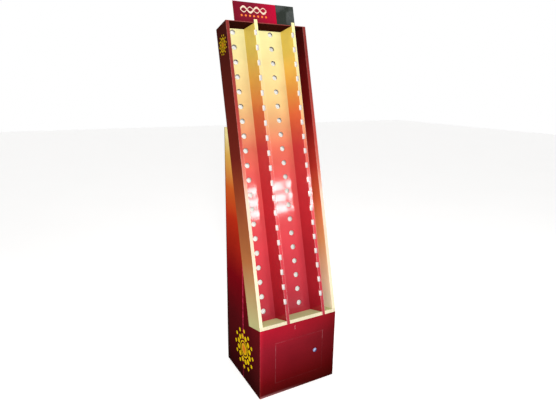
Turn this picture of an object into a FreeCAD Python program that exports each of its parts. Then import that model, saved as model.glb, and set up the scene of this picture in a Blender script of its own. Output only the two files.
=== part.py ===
"""Cardboard floor display stand: a folded shell that leans a shallow tray back.

Millimetres, +Z up. The origin is the middle of the base on the floor, the front
faces -Y and +X is to the right of a person who looks at the front.
"""
import FreeCAD, Part
from functools import partial
import math
import os

V = FreeCAD.Vector

# Board and card
board = 3.0                 # corrugated board of the shell, tray and panel
card = 2.0                  # solid card of the header
seat_gap = 0.2              # between two glued or resting faces
slip_gap = 0.5              # between a sheet and the walls that it slides between

# Shell: the base box and the tall back that carries the tray
width = 400.0               # left to right, of the shell and of the tray
base_depth = 372.0          # front to back, on the floor
base_height = 342.0         # floor to the top edge of the front panel
top_flange = 33.3           # from the back panel's top edge forward to the tray
ledge_width = 35.0          # inward flange that the tray is glued to
front_ledge = 60.0          # flange folded in at the top of the front panel
minor_flap = 150.0          # bottom flap folded in from each side
back_flap = 120.0           # bottom flap folded in from the back, which the front one meets
glue_flap = 32.0            # flap that closes the shell into a tube
crease_width = 2.0
crease_depth = 1.0
lock_slit_left = 178.0      # from the left side to a short cut under the tray
lock_slit_drop = 15.0       # below the front panel's top edge
lock_slit_height = 20.0
lock_slit_width = 1.5

# Tray, measured in its own leaning frame
lean_deg = 14.4             # back from upright
tray_length = 1350.0        # along the lean
tray_depth = 116.0          # square to the lean
rim_width = 15.0            # doubled side walls and doubled bottom wall
panel_setback = 80.0        # from the rim's face back to the panel's face

# Display panel: two folded ridges, rows of temple holes, nose notches
first_ridge = 142.0         # from the left side to the middle of the first ridge
last_ridge = 68.0           # from the middle of the last ridge to the right side
ridge_count = 2
ridge_root = 44.0           # across a ridge where it leaves the panel
ridge_front = 15.0          # across its flat front
ridge_overrun = 12.0        # above the tray's top
row_count = 20
row_pitch = 66.8
first_row = 61.0            # from the tray's bottom to the lowest holes
hole_diameter = 24.0
hole_left = 79.0            # from a ridge's middle to the round hole on its left
slot_right = 38.0           # from a ridge's middle to the upright slot on its right
slot_width = 12.0
slot_height = 26.0
notch_rise = 42.0           # from a hole up to the middle of its notch
notch_height = 24.0
notch_reach = 9.0           # across the ridge's front, from its left edge
notch_depth = 5.0           # into the ridge's left side, behind its front face
liner_return = 25.0         # how far each ridge's white liner runs back along its sides

# Header card and its mirror
header_margin = 47.5        # from each side of the tray
header_height = 93.0
header_setback = 15.0
header_foot = 45.0
mirror_width = 94.0
mirror_thickness = 1.2

# Storage door in the front panel, and what is inside the base
door_left = 78.0            # from the left side to the hinge crease
door_right = 69.0           # from the free edge to the right side
door_bottom = 58.0
door_height = 204.0
door_kerf = 0.6             # cut round the door
pull_inset = 42.0           # from the door's free edge
pull_height = 111.0         # above the door's lower edge
pull_diameter = 20.0
pull_thickness = 6.0
pull_bevel = 3.0            # round the edge of its face
pull_neck = 8.0
pull_clearance = 0.2
pull_flange = 13.0
pull_flange_thickness = 1.5
shelf_headroom = 52.0       # from the front panel's top edge down to the storage shelf
shelf_drop = 22.0           # its flanges, folded down and glued to the walls

lean = math.radians(lean_deg)
half = width / 2
front_y = -base_depth / 2
back_y = base_depth / 2
door_edge = half - door_right
header_half = half - header_margin
shelf_height = base_height - shelf_headroom


def box(x0, x1, y0, y1, z0, z1):
    """Box between two corners."""
    return Part.makeBox(x1 - x0, y1 - y0, z1 - z0, V(x0, y0, z0))


def one_solid(pieces):
    """Pieces of one sheet, joined into a single solid."""
    joined = pieces[0].multiFuse(pieces[1:]).removeSplitter()
    return joined.Solids[0] if len(joined.Solids) == 1 else joined


def lean_back(shape):
    """Move a shape from the tray's own frame (x, depth, length) to the stand."""
    leaned = shape.copy()
    leaned.rotate(V(0, 0, 0), V(1, 0, 0), -lean_deg)
    leaned.translate(V(0, front_y, base_height))
    return leaned


def tray_point(depth, length):
    """Where a point of the tray's side lies in the stand, as (y, z)."""
    y = front_y + depth * math.cos(lean) + length * math.sin(lean)
    z = base_height - depth * math.sin(lean) + length * math.cos(lean)
    return y, z


def shell_top():
    """Height of the back panel, whose top flange just reaches the tray."""
    low_y, low_z = tray_point(tray_depth + seat_gap, -seat_gap)
    return low_z + (back_y - top_flange - low_y) / math.tan(lean)


def side_outline():
    """Side of the shell: the box below, and the edge that the tray rests on."""
    low_y, low_z = tray_point(tray_depth + seat_gap, -seat_gap)
    front_top = base_height - seat_gap / math.cos(lean)
    return [
        (front_y, 0.0), (back_y, 0.0), (back_y, shell_top()),
        (back_y - top_flange, shell_top()), (low_y, low_z), (front_y, front_top),
    ]


def side_prism(x0, x1):
    """The side's outline as a prism from x0 to x1."""
    points = [V(x0, y, z) for y, z in side_outline()]
    face = Part.Face(Part.makePolygon(points + [points[0]]))
    return face.extrude(V(x1 - x0, 0, 0))


def shell_walls():
    """Front, back and sides, as one tube of board."""
    inside = side_prism(-half + board, half - board)
    keep = box(-half, half, front_y + board, back_y - board, -board, shell_top() + board)
    return side_prism(-half, half).cut(inside.common(keep))


def shell_ledges():
    """Flanges folded inward along the edges that carry the tray."""
    body = side_prism(-half, half)
    behind = tray_depth + seat_gap
    pieces = []
    for x0 in (-half, half - ledge_width):
        ledge = box(x0, x0 + ledge_width, behind, behind + board, -seat_gap, tray_length)
        pieces.append(lean_back(ledge).common(body))
    ledge = box(-half, half, 0, front_ledge, -seat_gap - board, -seat_gap)
    pieces.append(lean_back(ledge).common(body))
    ledge = box(-half, half, back_y - 2 * top_flange, back_y, shell_top() - board, shell_top())
    pieces.append(ledge.common(body))
    return pieces


def shell_bottom():
    """Bottom flaps: two from front and back below, two from the sides above."""
    meet = back_y - back_flap
    return [
        box(-half, half, front_y, meet - slip_gap, 0, board),
        box(-half, half, meet + slip_gap, back_y, 0, board),
        box(-half, -half + minor_flap, front_y, back_y, board, 2 * board),
        box(half - minor_flap, half, front_y, back_y, board, 2 * board),
    ]


def shell_glue_flap():
    """Flap inside the back panel, glued to it along the left side."""
    return box(-half, -half + glue_flap, back_y - 2 * board, back_y - board,
               0, shell_top() - 2 * board)


def side_creases():
    """Creases half way back in both sides, which let the shell fold flat."""
    grooves = []
    for x in (-half, half):
        grooves.append(box(x - crease_depth, x + crease_depth,
                           -crease_width / 2, crease_width / 2, -board, shell_top()))
    return grooves


def lock_slit():
    """Short upright cut in the front panel, under the tray's lip."""
    x = -half + lock_slit_left
    high = base_height - lock_slit_drop
    return box(x - lock_slit_width / 2, x + lock_slit_width / 2, front_y - board, front_y + 2 * board,
               high - lock_slit_height, high)


def door_outline(inset):
    """Box through the front panel over the door, drawn in by inset."""
    x0 = -half + door_left + inset
    x1 = door_edge - inset
    z0 = door_bottom + inset
    z1 = door_bottom + door_height - inset
    return x0, x1, z0, z1


def outer_shell():
    """The shell: one folded and glued sheet with the door cut in its front."""
    pieces = [shell_walls(), shell_glue_flap()] + shell_ledges() + shell_bottom()
    shell = one_solid(pieces)
    x0, x1, z0, z1 = door_outline(0)
    shell = shell.cut(box(x0, x1, front_y - board, front_y + 2 * board, z0, z1))
    for cut in side_creases() + [lock_slit()]:
        shell = shell.cut(cut)
    return shell


def pull_place():
    """Middle of the pull on the front panel, as (x, z)."""
    return door_edge - pull_inset, door_bottom + pull_height


def storage_door():
    """Door flap of the storage space, with the hole for its pull."""
    x0, x1, z0, z1 = door_outline(door_kerf)
    door = box(x0, x1, front_y, front_y + board, z0, z1)
    x, z = pull_place()
    hole = Part.makeCylinder(pull_neck / 2 + pull_clearance, 3 * board,
                             V(x, front_y - board, z), V(0, 1, 0))
    return door.cut(hole)


def disc(radius, y0, y1):
    """Round disc about the Y axis from y0 to y1."""
    return Part.makeCylinder(radius, y1 - y0, V(0, y0, 0), V(0, 1, 0))


def door_pull():
    """Round push-in pull: bevelled head, neck through the door, flange behind."""
    head = pull_diameter / 2
    face = -seat_gap - pull_thickness
    rear = board + seat_gap
    bevel = Part.makeCone(head - pull_bevel, head, pull_bevel, V(0, face, 0), V(0, 1, 0))
    pull = one_solid([
        bevel,
        disc(head, face + pull_bevel, -seat_gap),
        disc(pull_neck / 2, -seat_gap - pull_bevel / 2, rear + pull_flange_thickness),
        disc(pull_flange / 2, rear, rear + pull_flange_thickness),
    ])
    x, z = pull_place()
    pull.translate(V(x, front_y, z))
    return pull


def floor_pad():
    """Loose pad that covers the bottom flaps."""
    x = half - board - slip_gap
    y = back_y - board - slip_gap
    low = 2 * board + seat_gap
    pad = box(-x, x, -y, y, low, low + board)
    flap = box(-half, -half + board + glue_flap, back_y - 2 * board - slip_gap, back_y, 0, 4 * board)
    return pad.cut(flap)


def storage_shelf():
    """Shelf that closes the storage space, with its four flanges turned down."""
    x = half - board - seat_gap
    y0 = front_y + board + seat_gap
    y1 = back_y - 2 * board - seat_gap
    low = shelf_height - board - shelf_drop
    top = box(-x, x, y0, y1, low, shelf_height)
    under = box(-x + board, x - board, y0 + board, y1 - board, low, shelf_height - board)
    return top.cut(under)


def display_tray():
    """Tray: one folded sheet with doubled sides and bottom and a single top."""
    length, depth = tray_length, tray_depth
    wall_end = panel_setback - slip_gap
    inner = half - rim_width
    pieces = [
        box(-half, half, depth - board, depth, 0, length),
        box(-half, half, 0, depth, 0, board),
        box(-half, half, 0, depth, length - board, length),
        box(-half, half, 0, board, 0, rim_width),
        box(-half, half, 0, wall_end, rim_width - board, rim_width),
    ]
    for side in (-1, 1):
        outer = sorted((side * half, side * (half - board)))
        rim = sorted((side * half, side * inner))
        fold = sorted((side * inner, side * (inner + board)))
        pieces.append(box(outer[0], outer[1], 0, depth, 0, length))
        pieces.append(box(rim[0], rim[1], 0, board, 0, length))
        pieces.append(box(fold[0], fold[1], 0, wall_end, 0, length))
    return lean_back(one_solid(pieces))


def folded_section(points, thickness):
    """Face of a sheet folded along points, with its thickness to their left."""
    def shifted(start, end):
        step = (end - start).normalize()
        offset = V(-step.y, step.x, 0) * thickness
        return start + offset, end + offset

    runs = [shifted(a, b) for a, b in zip(points, points[1:])]
    inner = [runs[0][0]]
    for (a, b), (c, d) in zip(runs, runs[1:]):
        one, two = b - a, d - c
        along = ((c - a).x * two.y - (c - a).y * two.x) / (one.x * two.y - one.y * two.x)
        inner.append(a + one * along)
    inner.append(runs[-1][1])
    loop = points + inner[::-1]
    return Part.Face(Part.makePolygon(loop + [loop[0]]))


def ridge_middles():
    """Middle of each ridge across the tray, evenly spaced from first to last."""
    pitch = (width - first_ridge - last_ridge) / (ridge_count - 1)
    return [-half + first_ridge + pitch * i for i in range(ridge_count)]


def panel_section():
    """The panel's folds across the tray: flanges, flats and ridges, as (x, depth)."""
    edge = half - board - slip_gap
    back = tray_depth - board - slip_gap
    face = panel_setback
    front = -board - seat_gap
    points = [V(-edge, back, 0), V(-edge, face, 0)]
    for middle in ridge_middles():
        points.append(V(middle - ridge_root / 2, face, 0))
        points.append(V(middle - ridge_front / 2, front, 0))
        points.append(V(middle + ridge_front / 2, front, 0))
        points.append(V(middle + ridge_root / 2, face, 0))
    points.append(V(edge, face, 0))
    points.append(V(edge, back, 0))
    return folded_section(points, board)


def panel_rows():
    """Height of each row of holes along the tray."""
    return [first_row + row_pitch * i for i in range(row_count)]


def panel_cuts():
    """Temple holes and slots through the flats, and nose notches in the ridges."""
    cuts = []
    front = -board - seat_gap
    sheet = (panel_setback - board, panel_setback + 2 * board)
    for middle in ridge_middles():
        hole = middle - hole_left
        slot = middle + slot_right
        for row in panel_rows():
            cuts.append(Part.makeCylinder(hole_diameter / 2, 3 * board,
                                          V(hole, sheet[0], row), V(0, 1, 0)))
            cuts.append(box(slot - slot_width / 2, slot + slot_width / 2, sheet[0], sheet[1],
                            row - slot_height / 2, row + slot_height / 2))
            low = row + notch_rise - notch_height / 2
            if low + notch_height < tray_length - board:
                cuts.append(box(middle - ridge_root / 2, middle - ridge_front / 2 + notch_reach,
                                front - board, notch_depth, low, low + notch_height))
    return cuts


def display_panel():
    """Panel: one folded sheet that stands in the tray on its own flanges."""
    low = board + slip_gap
    high = tray_length - board - slip_gap
    shelf = rim_width + slip_gap
    front = -board - seat_gap
    panel = panel_section().extrude(V(0, 0, high - low))
    panel.translate(V(0, 0, low))
    panel = panel.cut(box(-half, half, front - board, panel_setback, 0, shelf))
    tongues = []
    for middle in ridge_middles():
        x0, x1 = middle - ridge_front / 2, middle + ridge_front / 2
        tongues.append(box(x0, x1, front, -seat_gap, 0, shelf + board))
        tongues.append(box(x0, x1, front, -seat_gap, high - board, tray_length + ridge_overrun))
    panel = one_solid([panel] + tongues)
    return lean_back(panel.cut(Part.makeCompound(panel_cuts())))


def ridge_liner(middle):
    """White card folded inside a ridge: it shows through the notches as white bars."""
    front = -board - seat_gap
    slope = (ridge_root - ridge_front) / 2 / (panel_setback - front)
    inset = (board + seat_gap) * math.hypot(1, slope)

    def reach(depth):
        return ridge_front / 2 + slope * (depth - front) - inset

    near = notch_depth + seat_gap
    far = near + liner_return
    points = [
        V(middle - reach(far), far, 0), V(middle - reach(near), near, 0),
        V(middle + reach(near), near, 0), V(middle + reach(far), far, 0),
    ]
    section = folded_section(points, card)
    section.translate(V(0, 0, rim_width + slip_gap))
    length = tray_length - rim_width - board - 2 * slip_gap
    return lean_back(section.extrude(V(0, 0, length)))


def header_card():
    """Header: an upright card with its foot folded back onto the tray's top."""
    x = header_half
    low = tray_length + seat_gap
    upright = box(-x, x, header_setback, header_setback + card, low, tray_length + header_height)
    foot = box(-x, x, header_setback, header_setback + header_foot, low, low + card)
    return lean_back(one_solid([upright, foot]))


def header_mirror():
    """Mirror sheet on the right part of the header's face."""
    x = header_half
    face = header_setback - seat_gap
    low = tray_length + seat_gap
    return lean_back(box(x - mirror_width, x, face - mirror_thickness, face,
                         low, tray_length + header_height))


nodes = {
    "outer_shell": outer_shell,
    "storage_door": storage_door,
    "door_pull": door_pull,
    "floor_pad": floor_pad,
    "storage_shelf": storage_shelf,
    "display_tray": display_tray,
    "display_panel": display_panel,
    "header_card": header_card,
    "header_mirror": header_mirror,
}
for number, middle in enumerate(ridge_middles(), 1):
    nodes[f"ridge_liner_{number}"] = partial(ridge_liner, middle)

os.makedirs("parts", exist_ok=True)
for name, make in nodes.items():
    shape = make()
    shape.exportStep(f"parts/{name}.step")
    print(name, len(shape.Solids), round(shape.Volume), shape.isValid())
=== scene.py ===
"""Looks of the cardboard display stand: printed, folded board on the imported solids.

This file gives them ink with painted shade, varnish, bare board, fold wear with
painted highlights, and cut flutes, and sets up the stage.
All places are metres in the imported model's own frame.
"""
import math

import bpy
import numpy as np
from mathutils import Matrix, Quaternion, Vector
from bpy.props import FloatProperty, FloatVectorProperty, IntProperty, PointerProperty


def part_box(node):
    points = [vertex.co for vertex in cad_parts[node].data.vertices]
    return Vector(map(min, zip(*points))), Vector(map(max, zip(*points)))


bl_info = {
    "name": "Cardboard Display Stand",
    "version": (1, 0, 0),
    "blender": (4, 5, 0),
    "location": "3D View > Sidebar > Stand",
    "description": "Dresses the solids of a folded cardboard display stand as printed board",
    "category": "Object",
}

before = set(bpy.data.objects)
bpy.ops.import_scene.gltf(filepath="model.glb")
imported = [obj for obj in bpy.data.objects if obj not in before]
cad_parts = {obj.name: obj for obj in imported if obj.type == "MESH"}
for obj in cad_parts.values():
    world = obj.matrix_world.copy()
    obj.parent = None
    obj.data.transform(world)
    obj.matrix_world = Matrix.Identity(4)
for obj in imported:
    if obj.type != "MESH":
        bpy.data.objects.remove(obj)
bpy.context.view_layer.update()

# Places, worked out from the frame
shell_low, shell_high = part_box("outer_shell")
tray_low, tray_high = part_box("display_tray")
door_low, door_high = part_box("storage_door")
BOARD = 0.003
LEAN = math.radians(14.4)
TRAY_DEPTH = 0.116
RIM = 0.015
PANEL_DEPTH = 0.080
TRAY_FOOT = Vector((0.0, shell_low.y, tray_low.z + TRAY_DEPTH * math.sin(LEAN)))
TRAY_LENGTH = (tray_high.z - TRAY_FOOT.z) / math.cos(LEAN)
SLIT_X = -0.022
SLIT_Z = 0.317
RIDGES = (-0.058, 0.132)
RIDGE_FRONT = 0.0032
RIDGE_HALF = 0.0075
NOTCH_DEPTH = 0.005
HALF_WIDTH = shell_high.x
HALF_DEPTH = shell_high.y

# How near a point is to a face that it lies on, how far print shows on a cut edge,
# and how deep the grooves and cuts of the base's faces are inked
SKIN = 0.0005
PRINT_EDGE = 0.0004
CUT_DEPTH = 0.0013

# Shares of a normal that tell a face that turns straight one way, or only a little
STRAIGHT = 0.9
SLANTED = 0.05

# Places on the print: across and up on the base, depth and length on the tray
BASE_ROSETTE = (-0.016, 0.161)
TRAY_ROSETTE = (0.060, 1.262)
GROOVE_HALF = 0.0016
CREASE_Y = -0.006
CREASE_WIDTH = 0.009
DOOR_LINE = 0.003

# The header's ornament: two waves over a row of dots, from the tray's top edge.
# The waves turn by so many radians a metre.
ORNAMENT_X = -0.054
ORNAMENT_HALF = 0.064
WAVE_UP = 0.060
WAVE_SWING = 0.012
WAVE_TURN = 98.2
WAVE_HALVES = (0.0045, 0.002)
DOTS_UP = 0.033
DOT_PITCH = 0.020
DOT_RADIUS = 0.0046
DOTS_EACH_SIDE = 3

# The camera, from the photograph's lines, and its frame in pixels
CAMERA_PLACE = (-0.966, -1.7272, 1.368)
HEADING = math.radians(28.8)
PITCH = math.radians(-14.17)
ROLL = math.radians(-0.68)
FOCAL_PIXELS = 442.0
FRAME_PIXELS = 556.0

# The stage
FLOOR_HALF = 14.0
LIGHT_TARGET = (0.0, 0.0, 0.8)
KEY_PLACE = (1.50, -3.06, 1.57)
KEY_SIZE = (1.1, 0.42)
KEY_PANES = (4, 3)
PANE_BAR = 0.045
NEAR_PLACE = (-1.15, -2.35, 1.75)
NEAR_SIZE = (0.3, 0.3)

# How inks change up each face: height or length in metres, and colour. Besides the print's own
# gradient, the colours hold painted shade and painted light of how each face was lit
# The side's inks are darkest at the foot, partly print and partly painted shade
SIDE_INKS_AND_SHADE = ((0.0, "240808"), (0.30, "480c10"), (0.50, "680810"), (0.78, "a42814"),
             (0.92, "b05020"), (1.07, "c89c4c"), (1.16, "d4c488"))
FRONT_INKS = ((0.0, "400808"), (0.07, "54080c"), (0.24, "741420"), (0.34, "901424"))
TRAY_INKS = ((0.0, "a4a070"), (0.30, "9c6038"), (0.60, "803820"), (0.75, "642018"),
             (1.30, "381410"))
RIM_INKS = ((0.0, "d0c4a4"), (0.57, "c4ac98"), (0.67, "b86c5c"), (0.80, "a44038"),
            (1.20, "742c28"))
INNER_INKS = ((0.05, "f4e8c4"), (0.34, "ecac70"), (0.54, "dc6c44"), (0.70, "c03c30"),
              (0.92, "7c1818"), (1.30, "441010"))
PANEL_INKS = ((0.0, "902430"), (0.34, "b83840"), (0.67, "c04c48"), (0.80, "c0604c"),
              (1.00, "c8a870"), (1.33, "d8d094"))
# Ridge flanks: the panel's print, darker and deeper, as painted shade of faces turned from the
# light
FLANK_SHADE_INKS = ((0.0, "8c1420"), (0.52, "b02830"), (0.80, "b83838"), (0.95, "cc6038"),
              (1.10, "d89c44"), (1.25, "d8bc54"))
HEADER_INKS = ((-0.15, "681020"), (-0.06, "701828"), (0.06, "a40c2c"))

# Painted shade: the front's print darkens from left to right as the light falls off, as a tint
# over its inks
FRONT_SHADE_TINTS = ((-0.17, "ffffff"), (0.12, "d4ecd0"), (0.20, "b8c4a8"))


def paint(code):
    """Linear red, green and blue, with alpha, of a colour written as on a print sheet."""
    parts = [int(code[i:i + 2], 16) / 255 for i in (0, 2, 4)]
    return tuple(c / 12.92 if c <= 0.04045 else ((c + 0.055) / 1.055) ** 2.4
                 for c in parts) + (1.0,)


def colour(name, code, text):
    """A colour setting of the panel."""
    return FloatVectorProperty(name=name, description=text, subtype="COLOR", size=3,
                               min=0.0, max=1.0, default=paint(code)[:3])


def length(name, metres, text):
    """A length setting of the panel."""
    return FloatProperty(name=name, description=text, subtype="DISTANCE", unit="LENGTH",
                         default=metres)


class StandLooks(bpy.types.PropertyGroup):
    """Sizes, inks and lights that a user would change."""

    bare: colour("Bare board", "e9e4d8", "Unprinted inside of the base")
    kraft: colour("Kraft", "b98f5f", "Brown board of the floor pad and the shelf")
    card: colour("White card", "f4f2ec", "Unprinted back of the panel and inside of the tray")
    liner: colour("Ridge liner", "cdcacc", "Liners inside the ridges")
    gold: colour("Gold", "c4a40c", "Dots and rings of the rosettes")
    ember: colour("Ember", "b4661a", "Heart of the rosettes")
    ornament: colour("Ornament", "d0baa4", "Pale waves on the header")
    mirror: colour("Mirror", "747a76", "Tint of the mirror sheet")
    plastic: colour("Pull", "8c98ba", "Plastic of the door's pull")
    floor: colour("Floor", "f4f3f1", "Floor of the stage")
    base_rosette: length("Base rosette", 0.110, "Radius of the rosette on the base")
    tray_rosette: length("Tray rosette", 0.048, "Radius of the rosette on the tray")
    flute: length("Flute", 0.0065, "From one flute of the board to the next")
    # The line along a fold is rubbed wear and a painted highlight
    fold: length("Fold", 0.0022, "Width of the rubbed line along a fold")
    dots: IntProperty(name="Dots", description="Dots in each ring of a rosette", default=12,
                      min=3)
    key: FloatProperty(name="Key", description="Softbox to the right", subtype="POWER",
                       default=40.0)
    near: FloatProperty(name="Near light", description="Light beside the camera",
                        subtype="POWER", default=75.0)


class Graph:
    """A node tree that is wired in words: each call adds a node and gives its output."""

    def __init__(self, tree):
        self.tree = tree
        self.column = 0

    def node(self, kind, **settings):
        made = self.tree.nodes.new(kind)
        self.column += 1
        made.location = (160 * (self.column % 12), -180 * (self.column // 12))
        for key, value in settings.items():
            setattr(made, key, value)
        return made

    def put(self, socket, value):
        if isinstance(value, bpy.types.NodeSocket):
            self.tree.links.new(value, socket)
        else:
            socket.default_value = value

    def math(self, operation, *values, clamp=False):
        made = self.node("ShaderNodeMath", operation=operation, use_clamp=clamp)
        for socket, value in zip(made.inputs, values):
            self.put(socket, value)
        return made.outputs[0]

    def either(self, *masks):
        found = masks[0]
        for mask in masks[1:]:
            found = self.math("MAXIMUM", found, mask)
        return found

    def both(self, *masks):
        found = masks[0]
        for mask in masks[1:]:
            found = self.math("MULTIPLY", found, mask)
        return found

    def opposite(self, mask):
        return self.math("SUBTRACT", 1.0, mask)

    def above(self, value, limit):
        return self.math("GREATER_THAN", value, limit)

    def below(self, value, limit):
        return self.math("LESS_THAN", value, limit)

    def within(self, value, low, high):
        return self.both(self.above(value, low), self.below(value, high))

    def near(self, value, place, reach):
        return self.math("COMPARE", value, place, reach)

    def away(self, value, place):
        """How far value is from place."""
        return self.math("ABSOLUTE", self.math("SUBTRACT", value, place))

    def least(self, *values):
        found = values[0]
        for value in values[1:]:
            found = self.math("MINIMUM", found, value)
        return found

    def sum(self, first, second):
        return self.math("ADD", first, second)

    def squares(self, first, second):
        """The sum of two squares."""
        return self.sum(self.math("MULTIPLY", first, first),
                        self.math("MULTIPLY", second, second))

    def fade(self, value, start, end, first=1.0, last=0.0):
        """Smooth step from first, at start, to last, at end."""
        made = self.node("ShaderNodeMapRange", interpolation_type="SMOOTHSTEP")
        for socket, given in zip(made.inputs, (value, start, end, first, last)):
            self.put(socket, given)
        return made.outputs[0]

    def mix(self, share, first, second, blend="MIX"):
        made = self.node("ShaderNodeMix", data_type="RGBA", blend_type=blend)
        self.put(made.inputs[0], share)
        self.put(made.inputs[6], first)
        self.put(made.inputs[7], second)
        return made.outputs[2]

    def inks(self, value, stops):
        """Colour that changes with value, from stops of (value, colour)."""
        low, high = stops[0][0], stops[-1][0]
        share = self.math("DIVIDE", self.math("SUBTRACT", value, low), high - low, clamp=True)
        made = self.node("ShaderNodeValToRGB")
        ramp = made.color_ramp
        for i, (place, code) in enumerate(stops):
            at = (place - low) / (high - low)
            stop = ramp.elements[i] if i < 2 else ramp.elements.new(at)
            stop.position, stop.color = at, paint(code)
        self.put(made.inputs[0], share)
        return made.outputs[0]

    def noise(self, vector, scale, detail=2.0, roughness=0.5):
        made = self.node("ShaderNodeTexNoise")
        self.put(made.inputs["Vector"], vector)
        made.inputs["Scale"].default_value = scale
        made.inputs["Detail"].default_value = detail
        made.inputs["Roughness"].default_value = roughness
        return made.outputs["Fac"]

    def vector(self, operation, *values):
        made = self.node("ShaderNodeVectorMath", operation=operation)
        for socket, value in zip(made.inputs, values):
            self.put(socket, value)
        return made.outputs["Value" if operation == "DOT_PRODUCT" else "Vector"]

    def parts(self, vector):
        made = self.node("ShaderNodeSeparateXYZ")
        self.put(made.inputs[0], vector)
        return made.outputs

    def place(self):
        return self.node("ShaderNodeTexCoord").outputs["Object"]

    def facing(self):
        return self.node("ShaderNodeTexCoord").outputs["Normal"]

    def shared(self, group, **values):
        made = self.node("ShaderNodeGroup", node_tree=group)
        for name, value in values.items():
            self.put(made.inputs[name.capitalize()], value)
        return made.outputs


def new_group(name, inputs, outputs):
    """An empty shader node group with named sockets, its wiring help and its two ends."""
    tree = bpy.data.node_groups.new(name, "ShaderNodeTree")
    for socket, kind in inputs:
        tree.interface.new_socket(socket, in_out="INPUT", socket_type="NodeSocket" + kind)
    for socket, kind in outputs:
        tree.interface.new_socket(socket, in_out="OUTPUT", socket_type="NodeSocket" + kind)
    g = Graph(tree)
    return g, g.node("NodeGroupInput").outputs, g.node("NodeGroupOutput").inputs


def lean_group():
    """Places and directions in the tray's own frame, which leans back.

    Depth and length are the dot products of the point, from the tray's foot, with
    the unit vectors square to the lean and along it; front and up are those of
    the surface's normal.
    """
    g, _, out = new_group("Lean frame", (), (
        ("Across", "Float"), ("Depth", "Float"), ("Length", "Float"),
        ("Front", "Float"), ("Up", "Float")))
    inward = (0.0, math.cos(LEAN), -math.sin(LEAN))
    along = (0.0, math.sin(LEAN), math.cos(LEAN))
    point = g.vector("SUBTRACT", g.place(), tuple(TRAY_FOOT))
    normal = g.facing()
    g.put(out["Across"], g.parts(point)[0])
    g.put(out["Depth"], g.vector("DOT_PRODUCT", point, inward))
    g.put(out["Length"], g.vector("DOT_PRODUCT", point, along))
    g.put(out["Front"], g.math("MULTIPLY", g.vector("DOT_PRODUCT", normal, inward), -1.0))
    g.put(out["Up"], g.vector("DOT_PRODUCT", normal, along))
    return g.tree


def grain_group():
    """Tone and height of varnished print on fluted board.

    Tone is cloudy ink of low contrast with a fine grain. Height is a sine wave
    across the flutes, which show through faintly, with paper grain on it.
    """
    g, given, out = new_group("Print grain", (("Vector", "Vector"), ("Across", "Float"),
                                              ("Pitch", "Float")),
                              (("Tone", "Float"), ("Height", "Float")))
    cloud = g.noise(given["Vector"], 7.0, 3.0)
    fine = g.noise(given["Vector"], 900.0, 2.0)
    tone = g.sum(g.fade(cloud, 0.3, 0.7, 0.93, 1.05), g.fade(fine, 0.2, 0.8, -0.03, 0.03))
    turn = g.math("MULTIPLY", g.math("DIVIDE", given["Across"], given["Pitch"]), 2 * math.pi)
    wave = g.math("MULTIPLY", g.math("SINE", turn), 0.5)
    g.put(out["Tone"], tone)
    g.put(out["Height"], g.math("ADD", wave, g.math("MULTIPLY", fine, 0.6)))
    return g.tree


def rub_and_highlight_group():
    """Line of rubbed wear and painted highlight along a fold: full at the fold, gone past Width,
    broken by noise.
    """
    g, given, out = new_group("Fold rub and highlight", (("Vector", "Vector"), ("Distance", "Float"),
                                            ("Width", "Float")), (("Mask", "Float"),))
    broken = g.fade(g.noise(given["Vector"], 60.0, 4.0, 0.7), 0.35, 0.65, 0.25, 1.0)
    line = g.fade(given["Distance"], 0.0, given["Width"])
    g.put(out["Mask"], g.math("MULTIPLY", line, broken, clamp=True))
    return g.tree


def flute_group():
    """Cut edge of fluted board: two pale liners with a darker sine of flutes between.

    Through is the share of the board's thickness, 0 to 1. The flute is where
    through is close to a sine of the place along the edge.
    """
    g, given, out = new_group("Cut flutes", (("Along", "Float"), ("Through", "Float"),
                                             ("Pitch", "Float")), (("Color", "Color"),))
    turn = g.math("MULTIPLY", g.math("DIVIDE", given["Along"], given["Pitch"]), 2 * math.pi)
    wave = g.math("MULTIPLY_ADD", g.math("SINE", turn), 0.36, 0.5)
    paper = g.fade(g.away(given["Through"], wave), 0.08, 0.2)
    liner = g.above(g.away(given["Through"], 0.5), 0.4)
    g.put(out["Color"], g.mix(g.either(paper, liner), paint("d2c6b0"), paint("f4f0e8")))
    return g.tree


def rosette_group():
    """A plain rosette: a disc, a thin ring round it, and two rings of dots.

    With r the distance over the radius, a dot's middle lies at r = reach on the
    middle line of its share of the turn, and turn is the angle from that line. The
    outer dots stand between the inner ones.
    """
    g, given, out = new_group("Dot rosette", (
        ("U", "Float"), ("V", "Float"), ("Radius", "Float"), ("Dots", "Float")),
        (("Rosette", "Float"), ("Heart", "Float")))
    u, v = given["U"], given["V"]
    r = g.math("DIVIDE", g.math("SQRT", g.squares(u, v)), given["Radius"])
    turns = g.math("DIVIDE", g.math("ARCTAN2", v, u), 2 * math.pi)
    place = g.math("MULTIPLY", turns, given["Dots"])
    share_turn = g.math("DIVIDE", 2 * math.pi, given["Dots"])

    def dot_ring(shift, reach, size):
        share = g.math("SUBTRACT", g.math("FRACT", g.math("ADD", place, shift)), 0.5)
        turn = g.math("MULTIPLY", share, share_turn)
        along = g.math("SUBTRACT", g.math("MULTIPLY", r, g.math("COSINE", turn)), reach)
        off = g.math("MULTIPLY", r, g.math("SINE", turn))
        return g.below(g.squares(along, off), size ** 2)

    disc = g.below(r, 0.26)
    ring = g.near(r, 0.36, 0.03)
    dots = g.either(dot_ring(0.0, 0.57, 0.115), dot_ring(0.5, 0.85, 0.085))
    g.put(out["Rosette"], g.either(disc, ring, dots))
    g.put(out["Heart"], g.fade(r, 0.06, 0.3))
    return g.tree


def shared_groups():
    """The node groups that several materials use, each built once."""
    makers = {"Lean frame": lean_group, "Print grain": grain_group, "Fold rub and highlight": rub_and_highlight_group,
              "Cut flutes": flute_group, "Dot rosette": rosette_group}
    return {name: bpy.data.node_groups.get(name) or make() for name, make in makers.items()}


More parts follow.
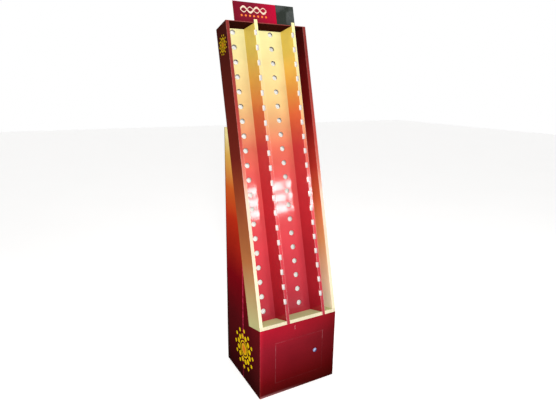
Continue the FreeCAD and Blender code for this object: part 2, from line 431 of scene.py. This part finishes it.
def new_material(name):
    """A material with a Principled shader, and the wiring help for its tree."""
    material = bpy.data.materials.new(name)
    material.use_nodes = True
    return material, Graph(material.node_tree), material.node_tree.nodes["Principled BSDF"]


def finish_print(g, shader, base, rough, height, depth, gloss):
    """Wires colour, roughness and a bump of the given depth into a Principled shader.

    Gloss is the weight of the varnish, which alone carries the clear reflections.
    """
    bump = g.node("ShaderNodeBump")
    bump.inputs["Distance"].default_value = depth
    bump.inputs["Strength"].default_value = 1.0
    g.put(bump.inputs["Height"], height)
    g.put(shader.inputs["Base Color"], base)
    g.put(shader.inputs["Roughness"], rough)
    g.put(shader.inputs["Normal"], bump.outputs[0])
    shader.inputs["Specular IOR Level"].default_value = 0.0
    shader.inputs["Coat Weight"].default_value = gloss
    shader.inputs["Coat Roughness"].default_value = 0.2
    shader.inputs["Coat IOR"].default_value = 1.3


def dress(node, material):
    """Gives a solid its material."""
    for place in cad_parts[node].material_slots:
        place.material = material


def toned(g, ink, tone):
    """An ink times its grey tone."""
    shade = g.node("ShaderNodeCombineColor")
    for socket in shade.inputs[:3]:
        g.put(socket, tone)
    return g.mix(1.0, ink, shade.outputs[0], "MULTIPLY")


def rosette_on(g, groups, looks, ink, across, up, middle, radius, where):
    """Prints a rosette over an ink, as strongly as the mask says."""
    made = g.shared(groups["Dot rosette"], u=g.math("SUBTRACT", across, middle[0]),
                    v=g.math("SUBTRACT", up, middle[1]), radius=radius,
                    dots=float(looks.dots))
    gold = g.mix(made["Heart"], (*looks.gold, 1.0), (*looks.ember, 1.0))
    return g.mix(g.both(made["Rosette"], where), ink, gold)


def shell_material(looks, name):
    """Print on the outer faces, bare board inside, flutes on the cut edges.

    The printed faces are those at the outline: sheet is how far a point lies
    inside the outline of the base, which is 0 on the print and one board
    thickness on the inside.
    """
    material, g, shader = new_material(name)
    groups = shared_groups()
    x, y, z = g.parts(g.place())[:3]
    from_side = g.math("SUBTRACT", HALF_WIDTH, g.math("ABSOLUTE", x))
    from_front = g.math("SUBTRACT", y, shell_low.y)
    from_back = g.math("SUBTRACT", HALF_DEPTH, y)
    sheet = g.least(from_side, from_front, from_back)
    fold = g.sum(from_side, g.least(from_front, from_back))
    on_front = g.below(from_front, CUT_DEPTH)
    on_side = g.below(from_side, CUT_DEPTH)
    top = g.both(g.above(z, shell_high.z - SKIN), g.above(g.parts(g.facing())[2], STRAIGHT))
    groove = g.both(g.near(y, 0.0, GROOVE_HALF), on_side)
    printed = g.either(g.below(sheet, PRINT_EDGE), top, groove)
    inside = g.above(sheet, BOARD - PRINT_EDGE)
    grain = g.shared(groups["Print grain"], vector=g.place(), across=g.sum(x, y),
                     pitch=looks.flute)

    # Inks, with painted shade in the side's ramp and the front's tint, the side lighter toward
    # its front edge, the rosette and the grain, and a dark strip along the back corner of each
    # side, wider low down
    side_ink = toned(g, g.inks(z, SIDE_INKS_AND_SHADE), g.fade(y, -0.17, -0.06, 1.3, 1.0))
    shaded_front_ink = g.mix(1.0, g.inks(z, FRONT_INKS), g.inks(x, FRONT_SHADE_TINTS), "MULTIPLY")
    ink = g.mix(on_front, side_ink, shaded_front_ink)
    ink = rosette_on(g, groups, looks, ink, y, z, BASE_ROSETTE, looks.base_rosette,
                     g.both(on_side, g.above(y, shell_low.y + 0.01)))
    ink = toned(g, ink, grain["Tone"])
    corner = g.both(g.fade(from_back, 0.0, g.fade(z, 0.3, 0.5, 0.04, 0.012)),
                    g.opposite(on_front), on_side)
    ink = g.mix(g.both(corner, 0.75), ink, paint("10100c"))

    # Rubbed wear and painted highlights along the folds, a painted highlight along the scored
    # crease of each side, and a painted highlight on the front's left corner
    rub_and_highlight = groups["Fold rub and highlight"]
    rubbed_and_lit = g.shared(rub_and_highlight, vector=g.place(), distance=g.least(fold, z),
                      width=looks.fold)["Mask"]
    ink = g.mix(g.both(rubbed_and_lit, 0.14), ink, paint("e08078"))
    # Painted highlight along the scored crease, stronger higher up
    crease = g.sum(g.away(y, CREASE_Y), on_front)
    crease_highlight = g.shared(rub_and_highlight, vector=g.place(), distance=crease, width=CREASE_WIDTH)["Mask"]
    ink = g.mix(g.both(crease_highlight, g.fade(z, 0.1, 0.4, 0.25, 0.95)), ink, paint("d03454"))
    by_corner = g.both(on_front, g.fade(x, -HALF_WIDTH, 0.022 - HALF_WIDTH))
    ink = toned(g, ink, g.math("MULTIPLY_ADD", by_corner, 0.35, 1.0))
    scuffed = g.both(on_front, g.fade(z, 0.0, 0.016), g.fade(x, -HALF_WIDTH, 0.08))
    ink = g.mix(g.both(scuffed, 0.3), ink, paint("c89090"))

    # The cut lines of the door, as a painted highlight strongest along the hinge side toward the
    # top and at the top of the latch side, and the short slit over it
    door_x = g.least(g.away(x, door_low.x), g.away(x, door_high.x))
    door_z = g.least(g.away(z, door_low.z), g.away(z, door_high.z))
    in_x = g.within(x, door_low.x - 0.002, door_high.x + 0.002)
    in_z = g.within(z, door_low.z - 0.002, door_high.z + 0.002)
    cut = g.least(g.sum(door_x, g.opposite(g.both(in_z, on_front))),
                  g.sum(door_z, g.opposite(g.both(in_x, on_front))))
    door_cut_highlight = g.shared(rub_and_highlight, vector=g.place(), distance=cut, width=DOOR_LINE)["Mask"]
    by_hinge = g.both(g.fade(x, door_low.x + 0.004, door_low.x + 0.06, 0.16, 0.04),
                      g.fade(z, door_low.z, door_high.z, 0.3, 1.0))
    by_latch = g.both(g.above(x, door_high.x - 0.002),
                      g.fade(z, door_high.z - 0.07, door_high.z - 0.02, 0.0, 0.16))
    ink = g.mix(g.both(door_cut_highlight, g.either(by_hinge, by_latch)), ink, paint("f0a8b0"))
    slit = g.both(g.near(x, SLIT_X, 0.0025), g.near(z, SLIT_Z, 0.012), on_front)
    ink = g.mix(g.both(slit, 0.2), ink, paint("d86070"))

    # Bare board inside, and flutes on the cut edges, stained beside the print
    edge = g.shared(groups["Cut flutes"], along=g.sum(x, y),
                    through=g.math("DIVIDE", sheet, BOARD), pitch=looks.flute)
    bare = toned(g, (*looks.bare, 1.0), grain["Tone"])
    soaked = g.both(g.either(slit, g.below(cut, 0.0025)), g.below(sheet, 0.0016))
    stained = g.mix(soaked, edge["Color"], paint("4c1018"))
    base = g.mix(printed, g.mix(inside, stained, bare), ink)
    rough = g.fade(printed, 0.0, 1.0, 0.8, 0.5)
    finish_print(g, shader, base, rough, grain["Height"], depth=0.00005, gloss=0.0)
    return material


def tray_material(looks):
    """Print of the tray: sides, rim, inner walls, lip and shelf, with bare board behind."""
    material, g, shader = new_material("tray print")
    groups = shared_groups()
    lean = g.shared(groups["Lean frame"])
    x, depth, up = lean["Across"], lean["Depth"], lean["Length"]
    from_side = g.math("SUBTRACT", HALF_WIDTH, g.math("ABSOLUTE", x))
    from_top = g.math("SUBTRACT", TRAY_LENGTH, up)
    grain = g.shared(groups["Print grain"], vector=g.place(), across=g.sum(x, depth),
                     pitch=looks.flute)
    side_ink = rosette_on(g, groups, looks, g.inks(up, TRAY_INKS), depth, up, TRAY_ROSETTE,
                          looks.tray_rosette, g.both(g.below(from_side, SKIN), 0.72))
    rim = g.both(g.above(lean["Front"], STRAIGHT), g.below(depth, 2 * SKIN))
    low_lip = g.below(up, RIM + SKIN)
    rim_ink = g.mix(low_lip, g.inks(up, RIM_INKS), paint("bdb498"))
    shelf = g.both(low_lip, g.above(lean["Up"], STRAIGHT))
    inner = g.above(from_side, RIM - SKIN)
    ceiling = g.below(lean["Up"], -STRAIGHT)
    inner_ink = g.mix(ceiling, g.inks(up, INNER_INKS), paint("2c0f0a"))
    ink = g.mix(rim, g.mix(inner, side_ink, inner_ink), rim_ink)
    ink = g.mix(shelf, ink, paint("cdd89c"))
    ink = toned(g, ink, grain["Tone"])
    hidden = g.both(g.within(depth, PANEL_DEPTH + 2 * SKIN, TRAY_DEPTH - SKIN),
                    g.above(from_side, SKIN), g.above(from_top, SKIN))
    # Rubbed wear and painted highlight along the front folds of the sides, the top and the rim's
    # inner edges, fainter higher up
    fold = g.least(g.sum(from_side, depth), g.sum(from_top, depth),
                   g.sum(g.away(from_side, RIM), depth))
    rubbed_and_lit = g.shared(groups["Fold rub and highlight"], vector=g.place(), distance=fold,
                      width=looks.fold)["Mask"]
    ink = g.mix(g.both(rubbed_and_lit, g.fade(up, 0.65, 0.9, 0.45, 0.12)), ink, paint("f6dccc"))
    bare = toned(g, (*looks.card, 1.0), grain["Tone"])
    base = g.mix(hidden, ink, bare)
    rough = g.fade(hidden, 0.0, 1.0, 0.5, 0.8)
    finish_print(g, shader, base, rough, grain["Height"], depth=0.00004, gloss=0.0)
    return material


def panel_material(looks):
    """Glossy print on the panel's face, bare board behind, flutes in holes and notches.

    The face is what turns to the front, even by the little that a ridge's flanks
    do. The back turns away, and a cut edge, which the print's ink has soaked a
    little, turns neither way. The varnish is smooth, and mirrors the key softbox.
    """
    material, g, shader = new_material("panel print")
    groups = shared_groups()
    lean = g.shared(groups["Lean frame"])
    x, depth, up, front = lean["Across"], lean["Depth"], lean["Length"], lean["Front"]
    grain = g.shared(groups["Print grain"], vector=g.place(), across=g.sum(x, depth),
                     pitch=looks.flute)
    notch = g.both(g.above(front, STRAIGHT), g.near(depth, NOTCH_DEPTH, 0.0006))
    printed = g.both(g.above(front, SLANTED), g.opposite(notch))
    back = g.below(front, -SLANTED)
    # Painted shade: the ridge flanks take their own darker inks
    flank = g.within(front, SLANTED, STRAIGHT)
    ink = toned(g, g.mix(flank, g.inks(up, PANEL_INKS), g.inks(up, FLANK_SHADE_INKS)), grain["Tone"])
    # Rubbed wear and painted highlight along the ridges' front folds
    off = g.least(*(g.away(x, middle) for middle in RIDGES))
    fold = g.sum(g.away(off, RIDGE_HALF), g.away(depth, -RIDGE_FRONT))
    rubbed_and_lit = g.shared(groups["Fold rub and highlight"], vector=g.place(), distance=fold,
                      width=0.0015)["Mask"]
    ink = g.mix(g.both(rubbed_and_lit, 0.5), ink, paint("ffe4dc"))
    edge = g.shared(groups["Cut flutes"], along=g.sum(x, up),
                    through=g.math("FRACT", g.math("DIVIDE", depth, BOARD)),
                    pitch=looks.flute)
    bare = toned(g, (*looks.card, 1.0), grain["Tone"])
    soaked = g.mix(0.4, edge["Color"], ink)
    base = g.mix(printed, g.mix(back, soaked, bare), ink)
    rough = g.fade(printed, 0.0, 1.0, 0.8, 0.4)
    finish_print(g, shader, base, rough, grain["Height"], depth=0.00001, gloss=0.9)
    shader.inputs["Coat Roughness"].default_value = 0.07
    shader.inputs["Coat IOR"].default_value = 1.36
    return material


def header_material(looks):
    """Header print: crimson that deepens to the left, two crossing waves, a row of dots.

    A wave is where the height is near a sine of the place along the card. A dot's
    middle is the nearest whole step of the pitch.
    """
    material, g, shader = new_material("header print")
    groups = shared_groups()
    lean = g.shared(groups["Lean frame"])
    x, front = lean["Across"], lean["Front"]
    up = g.math("SUBTRACT", lean["Length"], TRAY_LENGTH)
    grain = g.shared(groups["Print grain"], vector=g.place(), across=x, pitch=looks.flute)
    ink = toned(g, g.inks(x, HEADER_INKS), grain["Tone"])
    at = g.math("SUBTRACT", x, ORNAMENT_X)
    swing = g.math("SINE", g.math("MULTIPLY", g.math("ADD", at, ORNAMENT_HALF), WAVE_TURN))
    waves = []
    for way, half in zip((1.0, -1.0), WAVE_HALVES):
        middle = g.math("MULTIPLY_ADD", swing, way * WAVE_SWING, WAVE_UP)
        waves.append(g.below(g.away(up, middle), half))
    pale = g.both(g.either(*waves), g.near(at, 0.0, ORNAMENT_HALF))
    ink = g.mix(pale, ink, (*looks.ornament, 1.0))
    step = g.math("ROUND", g.math("DIVIDE", at, DOT_PITCH))
    step = g.math("MINIMUM", g.math("MAXIMUM", step, -DOTS_EACH_SIDE), DOTS_EACH_SIDE)
    off = g.math("SUBTRACT", at, g.math("MULTIPLY", step, DOT_PITCH))
    dots = g.below(g.squares(off, g.math("SUBTRACT", up, DOTS_UP)), DOT_RADIUS ** 2)
    ink = g.mix(dots, ink, paint("e07838"))
    ink = g.mix(g.above(front, STRAIGHT), paint("e9e4d8"), ink)
    finish_print(g, shader, ink, 0.45, grain["Height"], depth=0.00002, gloss=0.08)
    return material


def mirror_material(looks):
    """Mirror film: a tinted metal with soft dark patches, faint waves and smears of dust."""
    material, g, shader = new_material("mirror film")
    place = g.place()
    smear = g.noise(place, 30.0, 4.0, 0.6)
    tint = g.mix(g.fade(smear, 0.35, 0.75, 0.0, 0.35), (*looks.mirror, 1.0), paint("8c948c"))
    cloud = g.fade(g.noise(place, 16.0, 1.0), 0.42, 0.6, 0.0, 0.7)
    tint = g.mix(cloud, tint, paint("3c4638"))
    rough = g.fade(smear, 0.3, 0.8, 0.08, 0.28)
    g.put(shader.inputs["Base Color"], tint)
    g.put(shader.inputs["Roughness"], rough)
    bump = g.node("ShaderNodeBump")
    bump.inputs["Distance"].default_value = 0.0004
    g.put(bump.inputs["Height"], g.noise(place, 9.0, 1.0))
    g.put(shader.inputs["Normal"], bump.outputs[0])
    shader.inputs["Metallic"].default_value = 0.9
    return material


def plain_board_material(looks, name, pale, fibres):
    """Unprinted board: fibres in the sheet, flutes that show through."""
    material, g, shader = new_material(name)
    groups = shared_groups()
    place = g.place()
    grain = g.shared(groups["Print grain"], vector=place, across=g.parts(place)[0],
                     pitch=looks.flute)
    fibre = g.noise(g.vector("MULTIPLY", place, (40.0, 400.0, 400.0)), 3.0, 3.0, 0.7)
    base = g.mix(g.fade(fibre, 0.35, 0.7, 0.0, 0.5), (*pale, 1.0), paint(fibres))
    finish_print(g, shader, toned(g, base, grain["Tone"]), 0.85, grain["Height"],
                 depth=0.0001, gloss=0.0)
    return material


def plastic_material(looks):
    """Gloss plastic of the pull, with painted shade at its lower right as on a dome lit from the
    upper left, and fine handling scratches.
    """
    material, g, shader = new_material("pull plastic")
    place = g.place()
    scratch = g.noise(g.vector("MULTIPLY", place, (900.0, 900.0, 90.0)), 2.0, 3.0, 0.7)
    pull_low, pull_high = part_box("door_pull")
    middle = (Vector(pull_low) + Vector(pull_high)) / 2
    # Painted shade: the pull darkens toward its lower right
    along = g.vector("DOT_PRODUCT", g.vector("SUBTRACT", place, tuple(middle)), (0.7, 0.0, -0.7))
    base = g.mix(g.fade(along, -0.005, 0.003), paint("221c40"), (*looks.plastic, 1.0))
    base = g.mix(g.fade(scratch, 0.4, 0.7, 0.0, 0.3), base, paint("2c3458"))
    rough = g.fade(scratch, 0.3, 0.7, 0.18, 0.4)
    finish_print(g, shader, base, rough, scratch, depth=0.00002, gloss=0.4)
    return material


def floor_material(looks):
    """Pale floor with the faintest mottling."""
    material, g, shader = new_material("stage floor")
    mottle = g.noise(g.place(), 1.5, 3.0)
    base = toned(g, (*looks.floor, 1.0), g.fade(mottle, 0.3, 0.7, 0.985, 1.0))
    g.put(shader.inputs["Base Color"], base)
    shader.inputs["Roughness"].default_value = 0.7
    shader.inputs["Emission Color"].default_value = (1.0, 1.0, 1.0, 1.0)
    shader.inputs["Emission Strength"].default_value = 0.3
    return material


def grid_mesh(name, points):
    """Mesh of a grid of points, rows by columns by 3, with quads between neighbours."""
    rows, columns = points.shape[:2]
    spot = np.arange(rows * columns).reshape(rows, columns)
    quads = np.stack([spot[:-1, :-1], spot[:-1, 1:], spot[1:, 1:], spot[1:, :-1]], axis=-1)
    mesh = bpy.data.meshes.new(name)
    mesh.from_pydata(points.reshape(-1, 3).tolist(), [], quads.reshape(-1, 4).tolist())
    mesh.update()
    made = bpy.data.objects.new(name, mesh)
    bpy.context.scene.collection.objects.link(made)
    return made


class STAND_OT_shell(bpy.types.Operator):
    """Dress the outer shell: gradient print with painted shade, rosettes, fold wear and painted
    highlights, bare inside
    """

    bl_idname = "stand.shell"
    bl_label = "Outer shell"

    def execute(self, context):
        dress("outer_shell", shell_material(context.scene.stand_looks, "shell print"))
        return {"FINISHED"}


class STAND_OT_door(bpy.types.Operator):
    """Dress the storage door and its plastic pull"""

    bl_idname = "stand.door"
    bl_label = "Storage door"

    def execute(self, context):
        looks = context.scene.stand_looks
        dress("storage_door", shell_material(looks, "door print"))
        dress("door_pull", plastic_material(looks))
        return {"FINISHED"}


class STAND_OT_tray(bpy.types.Operator):
    """Dress the leaning tray: sides, rim, lip and shelf"""

    bl_idname = "stand.tray"
    bl_label = "Display tray"

    def execute(self, context):
        dress("display_tray", tray_material(context.scene.stand_looks))
        return {"FINISHED"}


class STAND_OT_panel(bpy.types.Operator):
    """Dress the ridged panel: glossy gradient, painted shade on the ridge flanks, rubbed wear
    and painted highlights on the folds, white cut edges
    """

    bl_idname = "stand.panel"
    bl_label = "Display panel"

    def execute(self, context):
        dress("display_panel", panel_material(context.scene.stand_looks))
        return {"FINISHED"}


class STAND_OT_header(bpy.types.Operator):
    """Dress the header card and its mirror"""

    bl_idname = "stand.header"
    bl_label = "Header and mirror"

    def execute(self, context):
        looks = context.scene.stand_looks
        dress("header_card", header_material(looks))
        dress("header_mirror", mirror_material(looks))
        return {"FINISHED"}


class STAND_OT_inner_boards(bpy.types.Operator):
    """Dress the floor pad and the storage shelf in kraft, the ridge liners in white card"""

    bl_idname = "stand.inner_boards"
    bl_label = "Inner boards"

    def execute(self, context):
        looks = context.scene.stand_looks
        kraft = plain_board_material(looks, "kraft board", looks.kraft, "9c7648")
        white = plain_board_material(looks, "white card", looks.liner, "b6b2b2")
        for node, material in (("floor_pad", kraft), ("storage_shelf", kraft),
                               ("ridge_liner_1", white), ("ridge_liner_2", white)):
            dress(node, material)
        return {"FINISHED"}


def softbox(name, place, size, power, panes=(1, 1), bar=0.0):
    """Area light turned to the stand, in columns and rows of panes with dark bars between.

    The power is shared among the panes.
    """
    (wide, high), (columns, rows) = size, panes
    turn = (Vector(LIGHT_TARGET) - Vector(place)).to_track_quat("-Z", "Y")
    lamp = bpy.data.lights.new(name, "AREA")
    lamp.shape = "RECTANGLE"
    lamp.size = wide / columns - bar
    lamp.size_y = high / rows - bar
    lamp.energy = power / (columns * rows)
    for column in range(columns):
        for row in range(rows):
            offset = Vector((((column + 0.5) / columns - 0.5) * wide,
                             ((row + 0.5) / rows - 0.5) * high, 0.0))
            made = bpy.data.objects.new(name, lamp)
            bpy.context.scene.collection.objects.link(made)
            made.location = Vector(place) + turn @ offset
            made.rotation_euler = turn.to_euler()


def studio_world():
    """Pale surroundings that light the front less and are plain white where they are seen."""
    world = bpy.data.worlds.new("studio")
    bpy.context.scene.world = world
    world.use_nodes = True
    g = Graph(world.node_tree)
    direction = g.node("ShaderNodeTexCoord").outputs["Generated"]
    share = g.fade(g.parts(direction)[1], -0.4, 0.3, 0.0, 1.0)
    sky = g.mix(share, (0.30, 0.30, 0.31, 1.0), (1.0, 1.0, 1.0, 1.0))
    seen = g.node("ShaderNodeLightPath").outputs["Is Camera Ray"]
    sky = g.mix(seen, sky, (1.0, 1.0, 1.0, 1.0))
    background = world.node_tree.nodes["Background"]
    g.put(background.inputs["Color"], sky)
    background.inputs["Strength"].default_value = 1.0


def photo_camera():
    """Camera where the photograph was taken from, by its place, heading, pitch and roll."""
    ahead = Vector((math.sin(HEADING) * math.cos(PITCH), math.cos(HEADING) * math.cos(PITCH),
                    math.sin(PITCH)))
    lens = bpy.data.cameras.new("photo camera")
    lens.sensor_width = 36.0
    lens.lens = FOCAL_PIXELS * lens.sensor_width / FRAME_PIXELS
    camera = bpy.data.objects.new("photo camera", lens)
    bpy.context.scene.collection.objects.link(camera)
    camera.location = CAMERA_PLACE
    camera.rotation_mode = "QUATERNION"
    camera.rotation_quaternion = Quaternion(ahead, ROLL) @ ahead.to_track_quat("-Z", "Y")
    bpy.context.scene.camera = camera


class STAND_OT_stage(bpy.types.Operator):
    """Set up the floor, the lights, the surroundings and the camera"""

    bl_idname = "stand.stage"
    bl_label = "Stage"

    def execute(self, context):
        looks = context.scene.stand_looks
        reach = np.linspace(-FLOOR_HALF, FLOOR_HALF, 3)
        spots = np.stack(np.meshgrid(reach, reach, indexing="ij"), axis=-1)
        points = np.concatenate([spots, np.zeros((3, 3, 1))], axis=-1)
        ground = grid_mesh("stage_floor", points[:, ::-1].copy())
        ground.data.materials.append(floor_material(looks))
        softbox("key softbox", KEY_PLACE, KEY_SIZE, looks.key, KEY_PANES, PANE_BAR)
        softbox("near light", NEAR_PLACE, NEAR_SIZE, looks.near)
        studio_world()
        photo_camera()
        context.scene.view_settings.view_transform = "Standard"
        return {"FINISHED"}


OPERATORS = (STAND_OT_shell, STAND_OT_door, STAND_OT_tray, STAND_OT_panel, STAND_OT_header,
             STAND_OT_inner_boards, STAND_OT_stage)


class STAND_PT_looks(bpy.types.Panel):
    """Settings of the stand and its steps"""

    bl_idname = "STAND_PT_looks"
    bl_label = "Display stand"
    bl_space_type = "VIEW_3D"
    bl_region_type = "UI"
    bl_category = "Stand"

    def draw(self, context):
        looks = context.scene.stand_looks
        for name in StandLooks.__annotations__:
            self.layout.prop(looks, name)
        for operator in OPERATORS:
            self.layout.operator(operator.bl_idname)


CLASSES = (StandLooks, *OPERATORS, STAND_PT_looks)


def register():
    for kind in CLASSES:
        bpy.utils.register_class(kind)
    bpy.types.Scene.stand_looks = PointerProperty(type=StandLooks)


def unregister():
    del bpy.types.Scene.stand_looks
    for kind in reversed(CLASSES):
        bpy.utils.unregister_class(kind)


def main():
    register()
    bpy.ops.stand.shell()
    bpy.ops.stand.door()
    bpy.ops.stand.tray()
    bpy.ops.stand.panel()
    bpy.ops.stand.header()
    bpy.ops.stand.inner_boards()
    bpy.ops.stand.stage()


if __name__ == "__main__":
    main()
